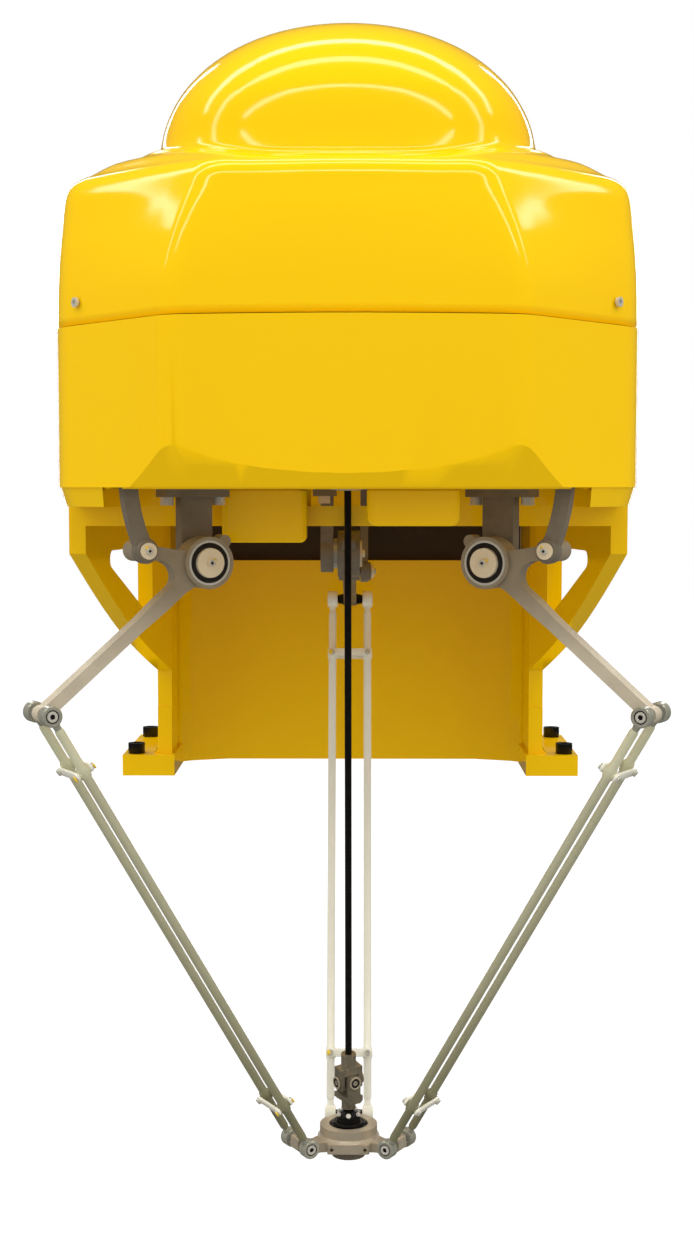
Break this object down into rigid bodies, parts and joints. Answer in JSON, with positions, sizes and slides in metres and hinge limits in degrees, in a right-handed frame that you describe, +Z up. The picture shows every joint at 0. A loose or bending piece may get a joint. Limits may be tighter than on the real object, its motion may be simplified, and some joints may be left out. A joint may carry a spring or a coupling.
{
  "type": "delta robot",
  "caption": "Delta robot on a cantilever stand: bell-crank arms, paired forearm rods, a moving platform and a splined wrist shaft under a domed yellow housing.",
  "frame": {"origin": "centre of the four foot bolts on the underside of the feet", "axes": "+Z up, -Y towards the front of the robot, +X to the right seen from the front"},
  "size_m": [0.386, 0.4906, 0.7593],
  "materials": {
    "yellow_paint": "gloss",
    "dark_panel": "satin",
    "black_steel": "black oxide",
    "motor_black": "satin",
    "nickel_rod": "satin nickel",
    "bearing_steel": "ground",
    "cast_steel": "satin cast",
    "panel_grey": "satin",
    "bright_steel": "bright"
  },
  "bodies": {
    "stand_and_housing": {"stand": "yellow_paint", "back_panels": "dark_panel", "foot_bolts": "black_steel", "deck": "yellow_paint", "lower_cover": "yellow_paint", "upper_cover": "yellow_paint", "cover_screws": "bright_steel", "left_underside_cover": "yellow_paint", "right_underside_cover": "yellow_paint", "connector_panel": "panel_grey", "shoulder_brackets": "cast_steel", "bracket_bolts": "bright_steel", "shoulder_shafts": "bright_steel", "shaft_caps": "cast_steel", "left_gearmotor": "motor_black", "right_gearmotor": "motor_black", "rear_gearmotor": "motor_black", "gimbal_bracket": "cast_steel"},
    "left_arm": {"left_arm": "cast_steel", "left_shoulder_bearings": "bearing_steel", "left_elbow_pin": "black_steel", "left_link_pin": "bright_steel"},
    "left_forearm": {"left_rods": "nickel_rod", "left_rod_bearings": "bearing_steel", "left_cross_links": "bright_steel", "left_lower_pins": "black_steel"},
    "left_drive_link": {"left_drive_link": "cast_steel"},
    "left_crank": {"left_crank": "cast_steel"},
    "right_arm": {"right_arm": "cast_steel", "right_shoulder_bearings": "bearing_steel", "right_elbow_pin": "black_steel", "right_link_pin": "bright_steel"},
    "right_forearm": {"right_rods": "nickel_rod", "right_rod_bearings": "bearing_steel", "right_cross_links": "bright_steel", "right_lower_pins": "black_steel"},
    "right_drive_link": {"right_drive_link": "cast_steel"},
    "right_crank": {"right_crank": "cast_steel"},
    "rear_arm": {"rear_arm": "cast_steel", "rear_shoulder_bearings": "bearing_steel", "rear_elbow_pin": "black_steel", "rear_link_pin": "bright_steel"},
    "rear_forearm": {"rear_rods": "nickel_rod", "rear_rod_bearings": "bearing_steel", "rear_cross_links": "bright_steel", "rear_lower_pins": "black_steel"},
    "rear_drive_link": {"rear_drive_link": "cast_steel"},
    "rear_crank": {"rear_crank": "cast_steel"},
    "wrist_drive": {"wrist_motor": "motor_black"},
    "spline_nut": {"spline_nut": "bright_steel"},
    "spline_shaft": {"spline_shaft": "black_steel", "upper_yoke": "bright_steel", "joint_cross": "bright_steel"},
    "platform": {"platform": "cast_steel", "wrist_bearing": "black_steel"},
    "wrist": {"ball_flange": "black_steel", "flange_screws": "bright_steel", "lower_yoke": "bright_steel", "tool_flange": "cast_steel"}
  },
  "joints": [
    {"name": "left_shoulder", "type": "hinge", "parent": "stand_and_housing", "child": "left_arm", "pos_m": [-0.08747, -0.3345, 0.176], "axis": [0.5, -0.866, 0], "range_deg": [-10, 9]},
    {"name": "left_elbow", "type": "hinge", "parent": "left_arm", "child": "left_forearm", "pos_m": [-0.17902, -0.38736, 0.08886], "axis": [0.5, -0.866, 0], "range_deg": [-11.45, 12.72]},
    {"name": "left_link_hinge", "type": "hinge", "parent": "left_arm", "child": "left_drive_link", "pos_m": [-0.12579, -0.35662, 0.1842], "axis": [0.5, -0.866, 0], "range_deg": [-9.05, 10.05]},
    {"name": "left_crank_turn", "type": "hinge", "parent": "stand_and_housing", "child": "left_crank", "pos_m": [-0.09007, -0.336, 0.262], "axis": [0.5, -0.866, 0], "range_deg": [-10.05, 9.05]},
    {"name": "right_shoulder", "type": "hinge", "parent": "stand_and_housing", "child": "right_arm", "pos_m": [0.08747, -0.3345, 0.176], "axis": [0.5, 0.866, 0], "range_deg": [-10.05, 9.05]},
    {"name": "right_elbow", "type": "hinge", "parent": "right_arm", "child": "right_forearm", "pos_m": [0.17902, -0.38736, 0.08886], "axis": [0.5, 0.866, 0], "range_deg": [-11.45, 12.72]},
    {"name": "right_link_hinge", "type": "hinge", "parent": "right_arm", "child": "right_drive_link", "pos_m": [0.12579, -0.35662, 0.1842], "axis": [0.5, 0.866, 0], "range_deg": [-9.05, 10.05]},
    {"name": "right_crank_turn", "type": "hinge", "parent": "stand_and_housing", "child": "right_crank", "pos_m": [0.09007, -0.336, 0.262], "axis": [0.5, 0.866, 0], "range_deg": [-10.05, 9.05]},
    {"name": "rear_shoulder", "type": "hinge", "parent": "stand_and_housing", "child": "rear_arm", "pos_m": [0, -0.183, 0.176], "axis": [-1, 0, 0], "range_deg": [-11.07, 9.96]},
    {"name": "rear_elbow", "type": "hinge", "parent": "rear_arm", "child": "rear_forearm", "pos_m": [0, -0.05192, 0.13617], "axis": [-1, 0, 0], "range_deg": [-11.01, 12.22]},
    {"name": "rear_link_hinge", "type": "hinge", "parent": "rear_arm", "child": "rear_drive_link", "pos_m": [0, -0.14033, 0.16172], "axis": [-1, 0, 0], "range_deg": [-9.96, 11.07]},
    {"name": "rear_crank_turn", "type": "hinge", "parent": "stand_and_housing", "child": "rear_crank", "pos_m": [0, -0.18, 0.262], "axis": [-1, 0, 0], "range_deg": [-11.07, 9.96]},
    {"name": "platform_stroke", "type": "slide", "parent": "stand_and_housing", "child": "platform", "axis": [0, 0, -1], "range_m": [-0.02812, 0.02533]},
    {"name": "shaft_tilt", "type": "hinge", "parent": "stand_and_housing", "child": "wrist_drive", "pos_m": [0, -0.284, 0.241], "axis": [1, 0, 0], "range_deg": [-0.61, 0.68]},
    {"name": "wrist_turn", "type": "hinge", "parent": "wrist_drive", "child": "spline_nut", "pos_m": [0, -0.284, 0.241], "axis": [0, -0.1704, 0.9854], "continuous": true},
    {"name": "shaft_slide", "type": "slide", "parent": "spline_nut", "child": "spline_shaft", "axis": [0, -0.1704, 0.9854], "range_m": [-0.02496, 0.02771]},
    {"name": "tool_turn", "type": "hinge", "parent": "platform", "child": "wrist", "pos_m": [0, -0.20948, -0.22785], "axis": [0, 0, 1], "continuous": true}
  ],
  "couplings": [
    {"joint": "left_elbow", "follows": "left_shoulder", "ratio": -1.2668},
    {"joint": "left_link_hinge", "follows": "left_shoulder", "ratio": -1},
    {"joint": "left_crank_turn", "follows": "left_shoulder", "ratio": 1},
    {"joint": "right_shoulder", "follows": "left_shoulder", "ratio": 1},
    {"joint": "right_elbow", "follows": "left_shoulder", "ratio": -1.2668},
    {"joint": "right_link_hinge", "follows": "left_shoulder", "ratio": -1},
    {"joint": "right_crank_turn", "follows": "left_shoulder", "ratio": 1},
    {"joint": "rear_shoulder", "follows": "left_shoulder", "ratio": 1.1016},
    {"joint": "rear_elbow", "follows": "left_shoulder", "ratio": -1.2175},
    {"joint": "rear_link_hinge", "follows": "left_shoulder", "ratio": -1.1016},
    {"joint": "rear_crank_turn", "follows": "left_shoulder", "ratio": 1.1016},
    {"joint": "platform_stroke", "follows": "left_shoulder", "m_per_rad": 0.15996},
    {"joint": "shaft_tilt", "follows": "left_shoulder", "ratio": -0.062788},
    {"joint": "shaft_slide", "follows": "left_shoulder", "m_per_rad": -0.1576},
    {"joint": "tool_turn", "follows": "wrist_turn", "ratio": 1}
  ]
}
